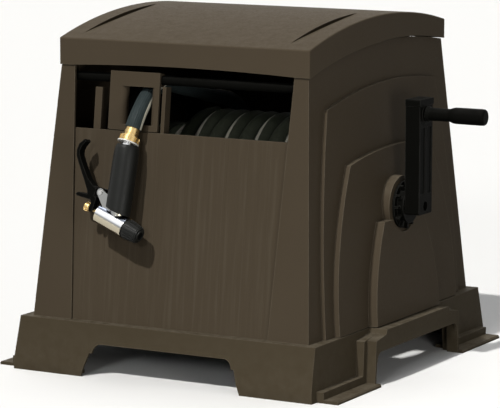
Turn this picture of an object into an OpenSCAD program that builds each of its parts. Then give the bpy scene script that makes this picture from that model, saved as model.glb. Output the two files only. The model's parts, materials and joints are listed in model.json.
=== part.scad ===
// Hose reel cabinet: a tapered resin cabinet on a footed base, with a hinged lid, a reel that is
// turned by a crank on the right, a hose guide that slides along the front window, and the end
// of the hose with its spray nozzle. Millimetres, +X to the right, +Y to the back, +Z up.
// The origin is on the floor, under the middle of the whole object with its crank up.

/* [Cabinet] */
// Width of the body where it stands on the base
body_w = 474; // [466:1:478]
// Depth of the body where it stands on the base
body_d = 541; // [535:1:545]
// How far each side wall leans in, per millimetre of height
side_lean = 0.067; // [0.060:0.001:0.070]
// How far the front and back walls lean in, per millimetre of height
front_lean = 0.119; // [0.112:0.001:0.122]
// Thickness of the resin walls
wall = 4; // [3.5:0.1:4]
// Height of the window sill in the front
sill_z = 367; // [366:1:368]
// Distance between the front posts at the lid
window_w = 376; // [372:1:380]
// Distance between the front posts at the base
window_foot_w = 338; // [334:1:342]

/* [Base] */
// Height of the base skirt
skirt_z = 80; // [78:1:82]
// Width of the base skirt at its top
skirt_w = 507; // [504:1:510]
// Depth of the base skirt at its top
skirt_d = 562; // [558:1:566]
// Depth of the base at the floor
foot_d = 594; // [590:1:600]
// Width over the foot plates, which stand out to the left and right
foot_w = 583; // [580:1:586]
// Height of the arches between the feet
arch_z = 50; // [46:1:52]
// Width of the front and back arches at the floor
front_arch_w = 274; // [266:1:280]
// Width of the side arches at the floor
side_arch_w = 286; // [280:1:290]
// How far the hood over a side arch stands out from the middle
hood_x = 283; // [280:1:285]

/* [Lid] */
// Width of the lid
lid_w = 428; // [426:1:430]
// Depth of the lid
lid_d = 455; // [452:1:456]
// Height of the top of the lid
lid_z = 538; // [534:1:542]
// Radius of the crowned top, seen from the side
lid_r = 910; // [880:10:940]
// Height of the lower edge of the lid's sides at its highest point
rim_z = 498.5; // [497:0.5:500]
// Radius of that lower edge
rim_r = 1096; // [1080:1:1110]

/* [Reel and crank] */
// Height of the reel's axis
axle_z = 252; // [250:1:254]
// Radius of the drum
drum_r = 53; // [53:1:54]
// Half of the drum's length between the flanges
drum_half = 165; // [165:1:167]
// Radius of the reel's flanges
flange_r = 170; // [165:1:171]
// Radius of the hub that turns in the side walls
hub_r = 18; // [16:0.5:18]
// Distance from the reel's axis to the crank's grip
crank_throw = 140; // [134:1:142]
// Length of the crank's grip
grip_len = 97; // [94:1:102]

/* [Hose] */
// Diameter of the hose
hose_d = 25; // [24:0.5:25]
// Loops in the outer layer of the hose
outer_loops = 9; // [5:1:9]
// Loops that show of the layer beneath it
inner_loops = 1; // [1:1:1]
// Distance from one loop to the next
hose_pitch = 26; // [25.6:0.1:26.4]

/* [Hose guide and nozzle] */
// Place of the guide's slot along the window, from the cabinet's middle
guide_x = -77; // [-95:1:-60]
// Width of the guide's slot
slot_w = 44; // [42:1:48]
// Length of the nozzle's grip, which ends on the barrel
handle_len = 114; // [112:1:116]
// Radius of the nozzle's grip
handle_r = 19; // [18:0.5:19]

/* [Hidden] */
$fn = 64;

RESIN = [0.27, 0.24, 0.20];
BLACK = [0.07, 0.07, 0.07];
HOSE = [0.13, 0.17, 0.14];
BRASS = [0.75, 0.60, 0.33];
CHROME = [0.80, 0.80, 0.82];

far = 700;
run_gap = 0.08;                          // radial clearance of a part that turns or slides
side_ang = atan(side_lean);
front_ang = atan(front_lean);

// Side steps: [half width at the foot, height where its edge starts to curve in,
// radius of that curve, crown's place in Y, crown's height, crown's radius, how far it stands out]
outer_step = [228, 60, 1425, 40, 438.5, 950, 6];
inner_step = [200, 100, 411, 25, 340.5, 900, 15];
pedestal_half = 107;
pedestal_r = 281;
pedestal_z = 232;
pedestal_out = 30;
boss_r = 44;
boss_x = 253;
seat_r = 41;                             // round seat for the crank's hub and the inlet's cap
spot_x = 214;

arch_lean = 0.35;                        // the front arch narrows by this, per millimetre of height
side_arch_lean = 0.08;
ledge_x = 268;
ledge_z = 16;
plate_z = 5;
hood_z = 68;                             // the hood over a side arch is full width up to here

elbow_x = -124;
bush_r = 24;
hub_x = 254.5;
arm_x = 268;
arm_t = 24;
arm_w = 44;
arm_top = 22;
arm_foot = 12;                           // the arm's lower end, below the axle
arm_skin = 4;
screw_deep = 11;                         // the arm's screw sits this deep in its face
grip_x = arm_x + arm_t + 1;
grip_end = grip_x + grip_len;
cabinet_x = -(grip_end - foot_w / 2) / 2;

lid_y = lid_d / 2;
crown_y = 25;
rim_y = 55;
hinge_y = 236;
hinge_z = 485;
hinge_x = 120;
hinge_r = 7;
pin_r = 3;
fascia_z = 466.5;
fascia_r = 3900;
groove_x = 177;
groove_w = 14;
groove_y = [-205, 9];
groove_bulge = 1.4;
stop_x = 201.5;
stop_y = 190;
stop_z = 462;

rail_r = 7;
upper_rail = [-211, 444];
lower_rail = [-219, 350];
upper_rail_half = 206;
lower_rail_half = 212;

hose_r = hose_d / 2;
core_r = drum_r + 2 * hose_d - 1;
step_r = drum_r + hose_d - 1;
step_x = -104;
outer_r = core_r + 0.6 + hose_r;
inner_r = step_r + 0.6 + hose_r;
first_x = drum_half - 2 - hose_r;

// The hose from behind the top of the reel, over it, through the guide's slot and down the front:
// [X from the slot's middle, Y, Z]
LEAD = [
    [0, 126, 325], [0, 111, 346], [0, 94, 364], [0, 73, 378], [0, 50, 389], [0, 31, 394],
    [0, -10, 403], [1, -50, 412], [3, -90, 420], [5, -125, 428], [5.5, -137, 431],
    [6.5, -158, 433], [7.3, -179, 431], [8, -199, 425], [8.4, -217, 414], [8.3, -232, 400],
    [7.6, -243, 386], [6, -249, 374]
];
coupling_len = 24;
lead_end = LEAD[len(LEAD) - 1];
lead_dir = unit(LEAD[len(LEAD) - 2] - lead_end);
inlet = lead_end - coupling_len * lead_dir;

// The nozzle leans out from the vertical by the first angle and to the left by the second
nozzle_lean = 10;
nozzle_tilt = 4;
neck_r = 11.5;
barrel_x = -6.4;
barrel_z = -117;
barrel_ang = 17.4;                       // the barrel points down by this
barrel_half = 25.6;
barrel_r = 15.6;
tip_len = 25.5;
pivot_x = -30;
pivot_z = -78;
ear_r = 6;
stem_r = 2.5;
knob_in = 43;                            // from the barrel's middle back to the knob's inner face
knob_len = 9;

// The guide's front frame: [X from the slot's middle to its left and right edges], and heights
frame_x = [-49, 37];
frame_z = [sill_z + 5, sill_z + 92];
slot_z = [sill_z + 13, sill_z + 70];
frame_t = 4;
lip_r = 9;
sled_y = 2 * wall + 0.6;                 // the sled runs behind the sill
sled_t = 6;
sled_z = 341;
left_fin = [-77, -65];
right_fin = [40, 46];
fin_deep = 15;
fin_z = [433, 439];

function body_x(z) = body_w / 2 - side_lean * (z - skirt_z);
function body_y(z) = body_d / 2 - front_lean * (z - skirt_z);
function post_x(z) = (window_foot_w + (window_w - window_foot_w) * (z - skirt_z) / (466 - skirt_z)) / 2;
function crown(s, y, inset) = s[4] - inset - pow(y - s[3], 2) / (2 * s[5]);
function flare(half, z0, r, z) = half - pow(max(z - z0, 0), 2) / (2 * r);

// Edge points of a step, up one side, over its crown and down the other
function step_edge(s, z, inset) = flare(s[0], s[1], s[2], z) - inset;
function shoulder(s, side, inset) = crown(s, side * flare(s[0], s[1], s[2], s[4] - 20), inset);
function step_outline(s, z0, inset) = concat(
    [for (i = [0:8]) let (z = z0 + (shoulder(s, -1, inset) - z0) * i / 8) [-step_edge(s, z, inset), z]],
    [for (i = [1:9]) let (
        a = -step_edge(s, shoulder(s, -1, inset), inset),
        b = step_edge(s, shoulder(s, 1, inset), inset),
        y = a + (b - a) * i / 10) [y, crown(s, y, inset)]],
    [for (i = [8:-1:0]) let (z = z0 + (shoulder(s, 1, inset) - z0) * i / 8) [step_edge(s, z, inset), z]]
);
function pedestal_outline(z0, inset) = concat(
    [for (i = [0:6]) let (z = z0 + (pedestal_z - inset - z0) * i / 6)
        [-flare(pedestal_half, skirt_z, pedestal_r, z) + inset, z]],
    [for (i = [6:-1:0]) let (z = z0 + (pedestal_z - inset - z0) * i / 6)
        [flare(pedestal_half, skirt_z, pedestal_r, z) - inset, z]]
);

// Everything is drawn about the cabinet's own middle and then moved to the origin
module home() {
    translate([cabinet_x, 0, 0]) children();
}

// A 2D shape in (Y, Z), drawn out along X from x0
module along_x(x0, len) {
    translate([x0, 0, 0]) rotate([90, 0, 90]) linear_extrude(len) children();
}

// A 2D shape in (X, Z), drawn out along Y from y0
module along_y(y0, len) {
    translate([0, y0 + len, 0]) rotate([90, 0, 0]) linear_extrude(len) children();
}

// A 2D shape in (X, Z), drawn out by t both ways from the middle plane
module both_ways(t) {
    along_y(-t, 2 * t) children();
}

// A rectangle from a to b whose corners have radius r
module rounded(a, b, r) {
    translate([a[0] + r, a[1]]) square([b[0] - a[0] - 2 * r, b[1] - a[1]]);
    translate([a[0], a[1] + r]) square([b[0] - a[0], b[1] - a[1] - 2 * r]);
    for (x = [a[0] + r, b[0] - r], y = [a[1] + r, b[1] - r]) {
        translate([x, y]) circle(r = r);
    }
}

// A cylinder along X from x0, about the point (Y, Z) in p
module x_rod(x0, len, r, p = [0, axle_z]) {
    translate([x0, p[0], p[1]]) rotate([0, 90, 0]) cylinder(h = len, r = r);
}

// A frame on the right side wall: X stands out of the wall, Z runs up it
module on_side() {
    translate([body_w / 2, 0, skirt_z]) rotate([0, -side_ang, 0]) translate([0, 0, -skirt_z]) children();
}

// A frame on the front wall: Y runs into the cabinet, Z runs up the wall
module on_front() {
    translate([0, -body_d / 2, skirt_z]) rotate([-front_ang, 0, 0]) translate([0, 0, -skirt_z]) children();
}

// A frame at the nozzle's inlet: Z runs up its grip
module on_nozzle() {
    translate([guide_x, 0, 0] + inlet) rotate([-nozzle_lean, nozzle_tilt, 0]) children();
}

// A frame at the same place: Z runs up the coupling to the hose's end
module on_coupling() {
    translate([guide_x, 0, 0] + inlet) rotate([0, acos(lead_dir[2]), atan2(lead_dir[1], lead_dir[0])])
        children();
}

// A frame on the nozzle's barrel: Z runs along it towards its tip
module on_barrel() {
    on_nozzle() translate([barrel_x, 0, barrel_z]) rotate([0, 90 + barrel_ang, 0]) children();
}

// The tapered block of the body, drawn in by inset on every side
module taper_block(inset, z0, z1) {
    intersection() {
        along_y(-far, 2 * far) polygon([
            [-body_x(z0) + inset, z0], [body_x(z0) - inset, z0],
            [body_x(z1) - inset, z1], [-body_x(z1) + inset, z1]
        ]);
        along_x(-far, 2 * far) polygon([
            [-body_y(z0) + inset, z0], [body_y(z0) - inset, z0],
            [body_y(z1) - inset, z1], [-body_y(z1) + inset, z1]
        ]);
    }
}

// The space below the lid's lower edge
module below_rim(gap) {
    along_x(-far, 2 * far) intersection() {
        translate([rim_y, rim_z - rim_r]) circle(r = rim_r - gap, $fn = 240);
        translate([-400, -10]) square([800, 600]);
    }
}

// The sides of the cabinet beyond the posts' inner edges
module beyond_posts(lap) {
    along_y(-far, 2 * far) polygon([
        [post_x(0) - lap, 0], [far, 0], [far, 600], [post_x(600) - lap, 600]
    ]);
}

// A plate with a stepped, arched outline on the side wall, from the wall's inner face
module step_plate(s, inset, from, to) {
    on_side() along_x(from, to - from) polygon(step_outline(s, skirt_z - 2 * inset, inset));
}

module pedestal(inset, from, to) {
    on_side() along_x(from, to - from) polygon(pedestal_outline(skirt_z - 2 * inset, inset));
}

module side_panel() {
    difference() {
        union() {
            intersection() {
                taper_block(0, skirt_z, rim_z);
                beyond_posts(0);
                below_rim(1.5);
            }
            intersection() {
                union() {
                    step_plate(outer_step, 0, -1, outer_step[6]);
                    step_plate(inner_step, 0, -1, inner_step[6]);
                    pedestal(0, -1, pedestal_out);
                }
                translate([0, -far, skirt_z]) cube([far, 2 * far, 600]);
            }
            x_rod(220, boss_x - 220, boss_r);
        }
        difference() {
            union() {
                taper_block(wall, 0, 600);
                step_plate(outer_step, wall, -wall - 1, outer_step[6] - wall);
                step_plate(inner_step, wall, -wall - 1, inner_step[6] - wall);
                pedestal(wall, -wall - 1, pedestal_out - wall);
            }
            // the bearing's boss, the sockets of the two guide rails and the rests for the lid
            x_rod(spot_x, boss_x - spot_x, bush_r + 10);
            x_rod(boss_x - wall, 12, seat_r + wall);
            x_rod(upper_rail_half - 6, 14, rail_r + 4, upper_rail);
            x_rod(lower_rail_half - 6, 14, rail_r + 4, lower_rail);
            for (end = [-1, 1]) {
                translate([stop_x - 4, end * stop_y - 8, stop_z - 12]) cube([20, 16, 12]);
            }
        }
        x_rod(spot_x - 1, 60, bush_r);
        x_rod(boss_x, 30, seat_r);
        x_rod(upper_rail_half - 8, 8, rail_r, upper_rail);
        x_rod(lower_rail_half - 8, 8, rail_r, lower_rail);
        panel_screw_rows(2) rod_in(2.1);
    }
}

// Children at the screws that join the front (and, turned round, the back) panel to a post
module screw_row() {
    for (z = [110, 190, 270, 345]) {
        on_front() translate([post_x(z) + 7, 0, z]) children();
    }
}

module panel_screw_rows(count) {
    screw_row() children();
    if (count > 1) {
        mirror([0, 1, 0]) screw_row() children();
    }
}

module rod_in(r) {
    translate([0, 1.5, 0]) rotate([-90, 0, 0]) cylinder(h = 12, r = r, $fn = 24);
}

module wall_plate(z1) {
    difference() {
        intersection() {
            taper_block(wall, skirt_z, z1);
            translate([-far, -far, 0]) cube([2 * far, far, 700]);
            difference() {
                translate([-far, -far, 0]) cube([2 * far, 2 * far, 700]);
                beyond_posts(-14);
                mirror([1, 0, 0]) beyond_posts(-14);
            }
        }
        taper_block(2 * wall, 0, 700);
        screw_row() rod_in(2.1);
        mirror([1, 0, 0]) screw_row() rod_in(2.1);
    }
}

module right_side_panel() {
    color(RESIN) home() side_panel();
}

module left_side_panel() {
    color(RESIN) home() mirror([1, 0, 0]) side_panel();
}

module front_panel() {
    color(RESIN) home() wall_plate(sill_z);
}

module back_panel() {
    color(RESIN) home() {
        mirror([0, 1, 0]) wall_plate(470);
        for (x = [-hinge_x, hinge_x]) {
            for (side = [-1, 1]) {
                difference() {
                    along_x(x + side * 23 - 7, 14) union() {
                        polygon([
                            [body_y(440) - wall, 440], [body_y(466), 466], [hinge_y, hinge_z - hinge_r],
                            [hinge_y, hinge_z], [hinge_y - hinge_r, hinge_z - 2],
                            [body_y(470) - wall, 470]
                        ]);
                        translate([hinge_y, hinge_z]) circle(r = hinge_r);
                    }
                    x_rod(x + side * 23 - 8, 16, pin_r, [hinge_y, hinge_z]);
                }
            }
        }
    }
}

module panel_screws() {
    color(BLACK) home() {
        for (turn = [0, 1]) {
            mirror([0, turn, 0]) for (side = [0, 1]) {
                mirror([side, 0, 0]) screw_row() {
                    translate([0, 1.5, 0]) rotate([-90, 0, 0]) cylinder(h = 6.5, r = 2.1, $fn = 24);
                    translate([0, 8, 0]) rotate([-90, 0, 0]) cylinder(h = 2.4, r = 4.2, $fn = 24);
                }
            }
        }
    }
}

// The skirt's block, drawn in by inset: it flares towards the floor
module skirt_block(inset, z0, z1) {
    intersection() {
        along_y(-far, 2 * far) polygon([
            [-skirt_w / 2 - 3 + inset, z0], [skirt_w / 2 + 3 - inset, z0],
            [skirt_w / 2 - inset, z1], [-skirt_w / 2 + inset, z1]
        ]);
        along_x(-far, 2 * far) polygon([
            [-foot_d / 2 + inset, z0], [foot_d / 2 - inset, z0], [foot_d / 2 - inset, ledge_z],
            [skirt_d / 2 - inset, z1], [-skirt_d / 2 + inset, z1], [-foot_d / 2 + inset, ledge_z]
        ]);
    }
}

// An arch in 2D with rounded upper corners
module arch(half, lean, inset) {
    r = 14;
    top = arch_z - inset;
    inner = half - inset - lean * arch_z;
    polygon([[-half + inset, -1], [half - inset, -1], [inner + lean * r, top - r],
        [-inner - lean * r, top - r]]);
    translate([-inner + r, top - r]) circle(r = r);
    translate([inner - r, top - r]) circle(r = r);
    translate([-inner + r, 0]) square([2 * (inner - r), top]);
    translate([-inner, 0]) square([2 * inner, top - r]);
}

// The band that frames a side arch, in two steps that run up into the pedestal
module arch_hood(half, inset, x) {
    along_x(200, x - inset - 200) polygon([
        [-half + inset, 0], [half - inset, 0],
        [half - 4 - inset, hood_z - inset], [pedestal_half + 4 - inset, hood_z + 5 - inset],
        [pedestal_half - inset, skirt_z - inset], [-pedestal_half + inset, skirt_z - inset],
        [-pedestal_half - 4 + inset, hood_z + 5 - inset], [-half + 4 + inset, hood_z - inset]
    ]);
}

module foot_plates() {
    for (side = [-1, 1]) {
        y0 = side < 0 ? -foot_d / 2 + 15 : side_arch_w / 2;
        len = foot_d / 2 - 15 - side_arch_w / 2;
        translate([skirt_w / 2 - 6, y0, 0]) cube([ledge_x - skirt_w / 2 + 6, len, ledge_z]);
        along_y(y0, len) polygon([
            [ledge_x - 6, 0], [foot_w / 2, 0], [foot_w / 2, plate_z - 2],
            [foot_w / 2 - 2, plate_z], [ledge_x - 6, plate_z]
        ]);
    }
}

module base_frame() {
    half = side_arch_w / 2;
    color(RESIN) home() difference() {
        union() {
            difference() {
                union() {
                    skirt_block(0, 0, skirt_z);
                    for (side = [0, 1]) {
                        mirror([side, 0, 0]) {
                            foot_plates();
                            arch_hood(half + 14, 0, ledge_x);
                            arch_hood(half + 4, 0, hood_x);
                        }
                    }
                }
                difference() {
                    union() {
                        skirt_block(wall, -1, skirt_z - wall);
                        for (side = [0, 1]) {
                            mirror([side, 0, 0]) {
                                arch_hood(half + 14, wall, ledge_x);
                                arch_hood(half + 4, wall, hood_x);
                            }
                        }
                    }
                    // floors of the four feet
                    for (side = [-1, 1], end = [-1, 1]) {
                        translate([side * 205 - 60, end * 235 - 70, -2]) cube([120, 140, 2 + plate_z]);
                    }
                }
                taper_block(2 * wall, -1, skirt_z + 1);
            }
            // the lip that the wall panels stand round
            difference() {
                taper_block(2 * wall, skirt_z - wall, skirt_z + 12);
                taper_block(3 * wall, skirt_z - wall - 1, skirt_z + 13);
            }
        }
        along_y(-far, 2 * far) arch(front_arch_w / 2, arch_lean, 0);
        along_x(-far, 2 * far) arch(half, side_arch_lean, 0);
    }
}

module guide_rail(half, p) {
    home() x_rod(-half, 2 * half, rail_r, p);
}

module upper_guide_rail() {
    color(BLACK) guide_rail(upper_rail_half, upper_rail);
}

module lower_guide_rail() {
    color(BLACK) guide_rail(lower_rail_half, lower_rail);
}

module bushing() {
    difference() {
        union() {
            x_rod(spot_x, boss_x - spot_x, bush_r);
            x_rod(spot_x - 4, 4, bush_r + 6);
        }
        x_rod(spot_x - 5, boss_x - spot_x + 6, hub_r + run_gap);
    }
}

module right_bushing() {
    color(BLACK) home() bushing();
}

module left_bushing() {
    color(BLACK) home() mirror([1, 0, 0]) bushing();
}

// The water inlet: a tube in the reel's left hub, with a male hose thread outside
module inlet_fitting() {
    color(BRASS) home() mirror([1, 0, 0]) difference() {
        union() {
            x_rod(190, boss_x + 4 - 190, 12 - run_gap);
            x_rod(boss_x + 0.5, 6, 17, [0, axle_z], $fn = 6);
            x_rod(boss_x + 5.5, 17, 13.3);
        }
        x_rod(189, 95, 7.5);
        difference() {
            x_rod(200, 2.8, 13);
            x_rod(199, 5, 9.5);
        }
    }
}

module inlet_o_ring() {
    color(BLACK) home() mirror([1, 0, 0]) translate([201.4, 0, axle_z]) rotate([0, 90, 0])
        rotate_extrude() translate([10.72, 0]) circle(r = 1.2, $fn = 24);
}

// The ring that holds the inlet in the left boss
module inlet_cap() {
    color(BLACK) home() mirror([1, 0, 0]) difference() {
        union() {
            x_rod(boss_x, 3, 40);
            x_rod(boss_x + 3, 4, 30);
        }
        x_rod(boss_x - 1, 9, 17.2);
        for (a = [45:90:315]) {
            translate([boss_x - 1, 35 * cos(a), axle_z + 35 * sin(a)]) rotate([0, 90, 0])
                cylinder(h = 6, r = 2.1, $fn = 24);
        }
    }
}

module cap_screws() {
    color(CHROME) home() mirror([1, 0, 0]) for (a = [45:90:315]) {
        translate([boss_x, 35 * cos(a), axle_z + 35 * sin(a)]) rotate([0, 90, 0]) {
            cylinder(h = 3, r = 2.1, $fn = 24);
            translate([0, 0, 3]) cylinder(h = 2.2, r1 = 3.8, r2 = 3, $fn = 24);
        }
    }
}

// The lid in 2D, seen from the side and drawn in by inset
module lid_profile(inset) {
    difference() {
        intersection() {
            translate([crown_y, lid_z - lid_r]) circle(r = lid_r - inset, $fn = 240);
            translate([-lid_y + inset, 440]) square([2 * (lid_y - inset), 110]);
        }
        translate([rim_y, rim_z - rim_r]) circle(r = rim_r - (inset > 0 ? 12 : 0), $fn = 240);
    }
}

function lid_top(y) = lid_z - lid_r + sqrt(pow(lid_r, 2) - pow(y - crown_y, 2));

// The space over a crescent groove in the lid's front slope, in (Y, Z): the lid's arc bulges over
// the chord between the groove's two ends, and the groove's floor follows a flatter arc
module groove_space() {
    a = [groove_y[0], lid_top(groove_y[0])];
    b = [groove_y[1], lid_top(groove_y[1])];
    chord = norm(b - a);
    along = (b - a) / chord;
    r = pow(chord, 2) / (8 * groove_bulge);
    difference() {
        translate([a[0], a[1] - 10]) square([b[0] - a[0], 60]);
        translate((a + b) / 2 + (r - groove_bulge) * [along[1], -along[0]]) circle(r = r, $fn = 720);
    }
}

// A band under the lid's top, between x0 and x0 + len, as deep as given
module lid_rib(x0, len, deep) {
    along_x(x0, len) difference() {
        translate([-lid_y, 440]) square([lid_d, 110]);
        translate([crown_y, lid_z - lid_r]) circle(r = lid_r - deep, $fn = 240);
    }
}

module lid() {
    color(RESIN * 1.25) home() {
        difference() {
            union() {
                along_x(-lid_w / 2, lid_w) lid_profile(0);
                for (x = [-hinge_x, hinge_x]) {
                    along_x(x - 15, 30) {
                        translate([hinge_y, hinge_z]) circle(r = hinge_r);
                        polygon([[lid_y - wall, hinge_z + 3], [hinge_y, hinge_z], [hinge_y, hinge_z + hinge_r],
                            [lid_y - wall, hinge_z + 16]]);
                    }
                }
                // stops that stand on the rests in the side panels
                for (side = [-1, 1], end = [-1, 1]) {
                    translate([side * stop_x - 2.5, end * stop_y - 2, stop_z]) cube([5, 4, 40]);
                }
            }
            difference() {
                along_x(-lid_w / 2 + wall, lid_w - 2 * wall) lid_profile(wall);
                for (x = [-140, -70, 0, 70, 140]) {
                    lid_rib(x - 1.5, 3, 16);
                }
                for (side = [-1, 1]) {
                    lid_rib(side * groove_x - groove_w / 2 - wall, groove_w + 2 * wall, 10);
                    for (end = [-1, 1]) {
                        translate([side * stop_x - 2.5, end * stop_y - 2, stop_z]) cube([5, 4, 70]);
                    }
                }
            }
            // the front edge is arched between the posts
            along_y(-lid_y - 1, wall + 2) intersection() {
                translate([0, fascia_z - fascia_r]) circle(r = fascia_r, $fn = 720);
                translate([-window_w / 2, 440]) square([window_w, 40]);
            }
            for (side = [-1, 1]) {
                along_x(side * groove_x - groove_w / 2, groove_w) groove_space();
            }
            for (x = [-hinge_x, hinge_x]) {
                x_rod(x - 16, 32, pin_r + run_gap, [hinge_y, hinge_z]);
            }
        }
    }
}

module hinge_pins() {
    color(CHROME) home() for (x = [-hinge_x, hinge_x]) {
        x_rod(x - 30, 60, pin_r, [hinge_y, hinge_z]);
    }
}

module reel_drum() {
    color(BLACK) home() difference() {
        x_rod(-drum_half, 2 * drum_half, drum_r);
        x_rod(-drum_half - 1, 2 * drum_half + 2, drum_r - 4);
        translate([elbow_x, 0, axle_z]) cylinder(h = drum_r + 2, r = 10.1);
    }
}

// A flange: a ribbed disc with a rim, lightening holes and a hub outside
module reel_flange(hub_end, hub_bore) {
    difference() {
        union() {
            x_rod(drum_half, 4, flange_r);
            difference() {
                x_rod(drum_half, 11, flange_r);
                x_rod(drum_half + 4, 8, flange_r - 5);
            }
            for (a = [0:45:315]) {
                translate([drum_half + 3, 0, axle_z]) rotate([a, 0, 0]) translate([0, -1.5, 24])
                    cube([6, 3, flange_r - 28]);
            }
            x_rod(drum_half, 12, drum_r + 4);
            x_rod(drum_half, hub_end - drum_half, hub_r + (hub_end < 200 ? 8 : 0));
            x_rod(drum_half - 12, 12, drum_r - 4);
        }
        x_rod(drum_half - 13, hub_end, hub_bore);
        for (a = [22.5:45:360]) {
            translate([drum_half - 1, 0, axle_z]) rotate([a, 0, 0]) translate([0, 0, 112]) rotate([0, 90, 0])
                cylinder(h = 20, r = 26);
        }
        for (a = [60:120:300]) {
            translate([drum_half - 20, 0, axle_z]) rotate([a, 0, 0]) translate([0, 0, 38]) rotate([0, 90, 0])
                cylinder(h = 60, r = 3, $fn = 24);
        }
    }
}

module right_reel_flange() {
    color(BLACK) home() reel_flange(190, hub_r);
}

module left_reel_flange() {
    color(BLACK) home() mirror([1, 0, 0]) reel_flange(boss_x - 4, 12);
}

module flange_screws() {
    color(CHROME) home() for (side = [0, 1], a = [60:120:300]) {
        mirror([side, 0, 0]) translate([drum_half - 12, 0, axle_z]) rotate([a, 0, 0])
            translate([0, 0, 38]) rotate([0, 90, 0]) {
                cylinder(h = 24, r = 3, $fn = 24);
                translate([0, 0, 24]) cylinder(h = 3, r = 5.5, $fn = 6);
            }
    }
}

// Takes the water from the left hub out through the drum's wall
module outlet_elbow() {
    color(BLACK) home() difference() {
        union() {
            x_rod(-drum_half + 12, elbow_x + drum_half + 1, 13);
            translate([elbow_x, 0, axle_z]) cylinder(h = drum_r - 10, r = 13);
            translate([elbow_x, 0, axle_z]) cylinder(h = drum_r - 1.2, r = 10);
        }
        x_rod(-drum_half + 11, 35, 8);
        translate([elbow_x, 0, axle_z]) cylinder(h = drum_r, r = 7);
    }
}

module hose_core() {
    color(HOSE) home() translate([0, 0, axle_z]) rotate([0, 90, 0]) rotate_extrude($fn = 96) polygon([
        [drum_r, -drum_half + 4], [step_r, -drum_half + 4], [step_r, step_x],
        [core_r, step_x], [core_r, drum_half], [drum_r, drum_half]
    ]);
}

// A tube of 6 or more sides along points: each ring stands square to the route there
function unit(v) = v / norm(v);
function heading(path, i) = unit(path[min(i + 1, len(path) - 1)] - path[max(i - 1, 0)]);
function ring(path, i, r, sides, hint) = let (
        t = heading(path, i),
        u = unit(cross(t, hint)),
        w = cross(u, t)
    ) [for (k = [0:sides - 1]) path[i] + r * (cos(360 * k / sides) * w + sin(360 * k / sides) * u)];

function tube_faces(rings, sides) = concat(
    [for (i = [0:rings - 2], k = [0:sides - 1]) let (a = i * sides + k, b = i * sides + (k + 1) % sides)
        [a, b, b + sides]],
    [for (i = [0:rings - 2], k = [0:sides - 1]) let (a = i * sides + k, b = i * sides + (k + 1) % sides)
        [a, b + sides, a + sides]],
    [for (k = [1:sides - 2]) [0, k + 1, k]],
    [for (k = [1:sides - 2]) let (base = (rings - 1) * sides) [base, base + k, base + k + 1]]
);

module tube(path, r, sides, hint) {
    points = [for (i = [0:len(path) - 1], p = ring(path, i, r, sides, hint)) p];
    polyhedron(points = points, faces = tube_faces(len(path), sides));
}

// One layer of the hose on the reel: a helix about X, with its two ends run out straight
rings_per_loop = 24;
function wound(x0, r, loops, pitch) = let (
        n = loops * rings_per_loop,
        turns = [for (i = [0:n]) let (a = 360 * i / rings_per_loop)
            [x0 + pitch * i / rings_per_loop, r * sin(a), axle_z + r * cos(a)]]
    ) concat([turns[0] - [0, hose_d, 0]], turns, [turns[n] + [0, hose_d, 0]]);
OUTER = wound(first_x, outer_r, outer_loops, -hose_pitch);
INNER = wound(-first_x, inner_r, inner_loops, hose_pitch);

// The least gap between one loop and the next, measured on the points of the route
function loop_gap(path) = min([for (i = [1:len(path) - 2 - rings_per_loop])
    norm(path[i] - path[i + rings_per_loop])]) - hose_d;
echo("least gap in the outer layer", loop_gap(OUTER));
echo("least gap in the inner layer", loop_gap(INNER));

module hose_outer_layer() {
    color(HOSE) home() tube(OUTER, hose_r, 6, [1, 0, 0]);
}

module hose_inner_layer() {
    color(HOSE) home() tube(INNER, hose_r, 6, [1, 0, 0]);
}

module hose_lead() {
    color(HOSE) home() tube([for (p = LEAD) p + [guide_x, 0, 0]], hose_r, 10, [1, 0, 0]);
}

module crank_hub() {
    color(BLACK) home() difference() {
        union() {
            x_rod(drum_half + 3, hub_x - drum_half - 3, hub_r);
            x_rod(hub_x, 3, 36);
            x_rod(hub_x + 3, arm_x - hub_x - 3, 27);
            for (a = [0:30:330]) {
                translate([hub_x + 1, 0, axle_z]) rotate([a, 0, 0])
                    translate([0, -1.5, 26]) cube([8, 3, 10]);
            }
        }
        x_rod(drum_half + 2, 120, 3);
    }
}

// The arm in 2D, in (Y, Z) about the axle, drawn in by inset
module arm_outline(inset) {
    half = arm_w / 2 - inset;
    rounded([-half, inset - arm_foot], [half, crank_throw + arm_top - inset], 3);
}

// The arm: plain outside but for two shallow panels, hollow and ribbed behind, with a cap at its end
module crank_arm() {
    panel = 1.2;
    rib = 3;
    color(BLACK) home() difference() {
        union() {
            along_x(arm_x, arm_t) translate([0, axle_z]) arm_outline(0);
            along_x(arm_x, arm_t + 1) translate([0, axle_z + crank_throw + arm_top - 9])
                rounded([-arm_w / 2 - 1.5, 0], [arm_w / 2 + 1.5, 10], 2);
            x_rod(arm_x + arm_t - 1, 2, 15, [0, axle_z + crank_throw]);
        }
        for (side = [-1, 1]) {
            along_x(arm_x + arm_t - panel, 4) translate([side * arm_w / 4, axle_z])
                rounded([3.5 - arm_w / 4, 19], [arm_w / 4 - 3.5, crank_throw - 20], 2);
        }
        along_x(arm_x - 1, arm_t - arm_skin) translate([0, axle_z]) difference() {
            arm_outline(arm_skin);
            translate([-rib / 2, 0]) square([rib, 200]);
            for (z = [48, 88]) {
                translate([-30, z - rib / 2]) square([60, rib]);
            }
            circle(r = 16);
            translate([0, crank_throw]) circle(r = 15);
        }
        x_rod(arm_x - 2, arm_t + 4, 3);
        x_rod(arm_x + arm_t - screw_deep, screw_deep + 2, 7.5);
        x_rod(arm_x - 2, arm_t + 6, 5, [0, axle_z + crank_throw]);
        x_rod(arm_x - 1, 3, 8.2, [0, axle_z + crank_throw]);
    }
}

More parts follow.
